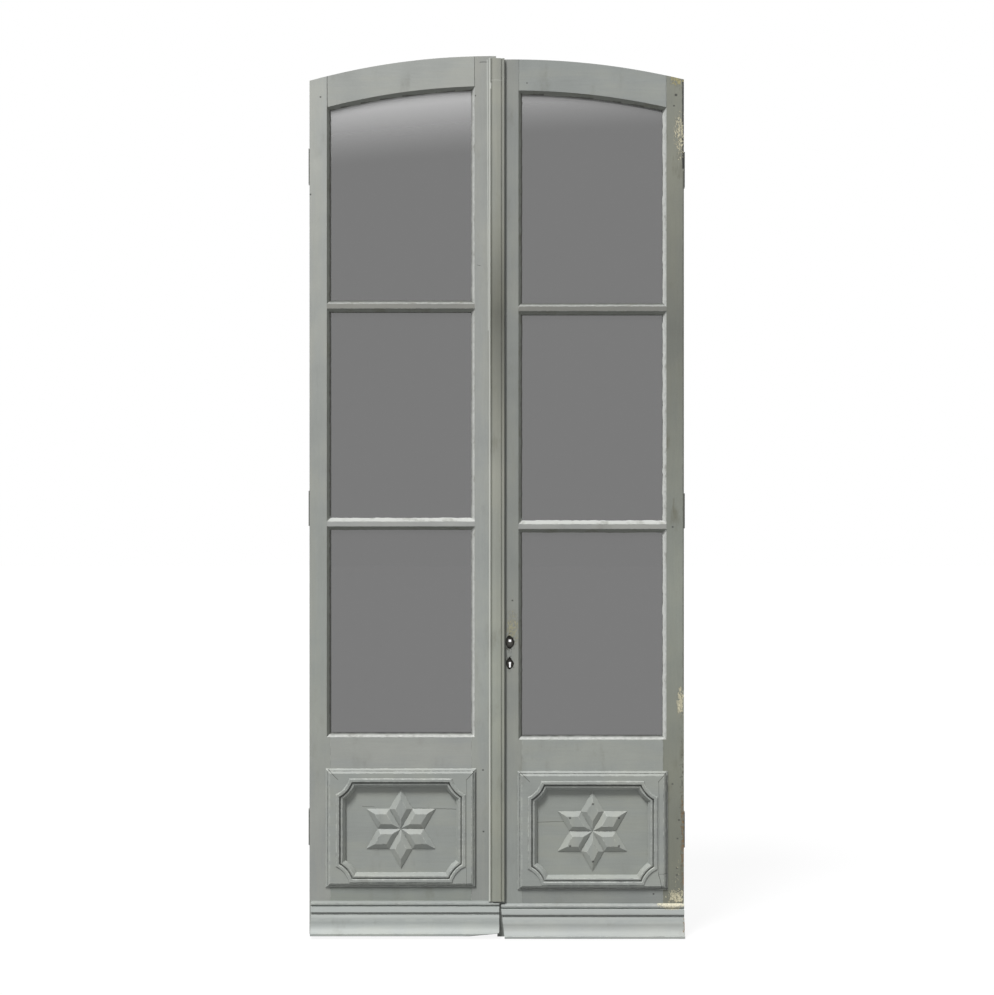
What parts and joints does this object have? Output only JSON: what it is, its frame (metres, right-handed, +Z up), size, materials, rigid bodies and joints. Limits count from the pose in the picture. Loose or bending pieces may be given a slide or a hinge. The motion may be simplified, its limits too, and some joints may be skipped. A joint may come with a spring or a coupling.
{
  "type": "arched double door leaves",
  "caption": "Pair of tall painted wooden door leaves with a low arched top, glazed above a framed star panel, on lift-off hinges.",
  "frame": {"origin": "on the meeting line, in the middle of the leaves' thickness, at the foot of the right leaf", "axes": "+Z up, +X to the right as seen from outside, +Y inwards, the way the leaves open"},
  "size_m": [1.184, 0.1029, 2.7515],
  "materials": {
    "frame_paint": "worn grey oil paint on softwood",
    "panel_paint": "worn grey oil paint on softwood",
    "weatherboard_paint": "worn pale grey oil paint on softwood",
    "window_glass": "old window glass that reads as flat grey",
    "glazing_putty": "painted linseed putty",
    "hinge_iron": "painted iron, rubbed at the edges",
    "lock_steel": "dull steel",
    "screw_steel": "dull steel with slight rust"
  },
  "bodies": {
    "jamb_hinges": {"left_bottom_jamb_hinge": "hinge_iron", "left_hinge_pins": "hinge_iron", "left_middle_jamb_hinge": "hinge_iron", "left_top_jamb_hinge": "hinge_iron", "right_bottom_jamb_hinge": "hinge_iron", "right_hinge_pins": "hinge_iron", "right_middle_jamb_hinge": "hinge_iron", "right_top_jamb_hinge": "hinge_iron"},
    "left_leaf": {"astragal": "frame_paint", "bottom_bolt_guide": "hinge_iron", "left_bottom_leaf_hinge": "hinge_iron", "left_bottom_pane": "window_glass", "left_bottom_rail": "frame_paint", "left_hinge_screws": "screw_steel", "left_hinge_stile": "frame_paint", "left_lower_bar": "frame_paint", "left_meeting_stile": "frame_paint", "left_mid_rail": "frame_paint", "left_middle_leaf_hinge": "hinge_iron", "left_middle_pane": "window_glass", "left_panel": "panel_paint", "left_panel_moulding": "panel_paint", "left_putty": "glazing_putty", "left_star": "panel_paint", "left_top_leaf_hinge": "hinge_iron", "left_top_pane": "window_glass", "left_top_rail": "frame_paint", "left_upper_bar": "frame_paint", "left_weatherboard": "weatherboard_paint", "strike_plate": "lock_steel", "strike_screws": "screw_steel", "top_bolt_guide": "hinge_iron"},
    "right_leaf": {"lock_case": "lock_steel", "lock_faceplate": "lock_steel", "lock_screws": "screw_steel", "right_bottom_leaf_hinge": "hinge_iron", "right_bottom_pane": "window_glass", "right_bottom_rail": "frame_paint", "right_hinge_screws": "screw_steel", "right_hinge_stile": "frame_paint", "right_lower_bar": "frame_paint", "right_meeting_stile": "frame_paint", "right_mid_rail": "frame_paint", "right_middle_leaf_hinge": "hinge_iron", "right_middle_pane": "window_glass", "right_panel": "panel_paint", "right_panel_moulding": "panel_paint", "right_putty": "glazing_putty", "right_star": "panel_paint", "right_top_leaf_hinge": "hinge_iron", "right_top_pane": "window_glass", "right_top_rail": "frame_paint", "right_upper_bar": "frame_paint", "right_weatherboard": "weatherboard_paint"},
    "follower": {"follower": "lock_steel"},
    "latch": {"latch_bolt": "lock_steel"},
    "dead_bolt": {"dead_bolt": "lock_steel"},
    "top_shoot_bolt": {"top_bolt": "hinge_iron"},
    "bottom_shoot_bolt": {"bottom_bolt": "hinge_iron"}
  },
  "joints": [
    {"name": "left_leaf_swing", "type": "hinge", "parent": "jamb_hinges", "child": "left_leaf", "pos_m": [-0.586, 0.025, 0], "axis": [0, 0, 1], "range_deg": [0, 110]},
    {"name": "right_leaf_swing", "type": "hinge", "parent": "jamb_hinges", "child": "right_leaf", "pos_m": [0.586, 0.025, 0], "axis": [0, 0, -1], "range_deg": [0, 110]},
    {"name": "follower_turn", "type": "hinge", "parent": "right_leaf", "child": "follower", "pos_m": [0.0415, 0, 0.923], "axis": [0, -1, 0], "range_deg": [0, 35]},
    {"name": "latch_slide", "type": "slide", "parent": "right_leaf", "child": "latch", "axis": [-1, 0, 0], "range_m": [0, 0.01202]},
    {"name": "dead_bolt_throw", "type": "slide", "parent": "right_leaf", "child": "dead_bolt", "axis": [-1, 0, 0], "range_m": [0, 0.014]},
    {"name": "top_bolt_slide", "type": "slide", "parent": "left_leaf", "child": "top_shoot_bolt", "axis": [0, 0, 1], "range_m": [0, 0.02]},
    {"name": "bottom_bolt_slide", "type": "slide", "parent": "left_leaf", "child": "bottom_shoot_bolt", "axis": [0, 0, -1], "range_m": [0, 0.02]}
  ],
  "couplings": [
    {"joint": "follower_turn", "follows": "latch_slide", "rad_per_m": 50.786}
  ]
}
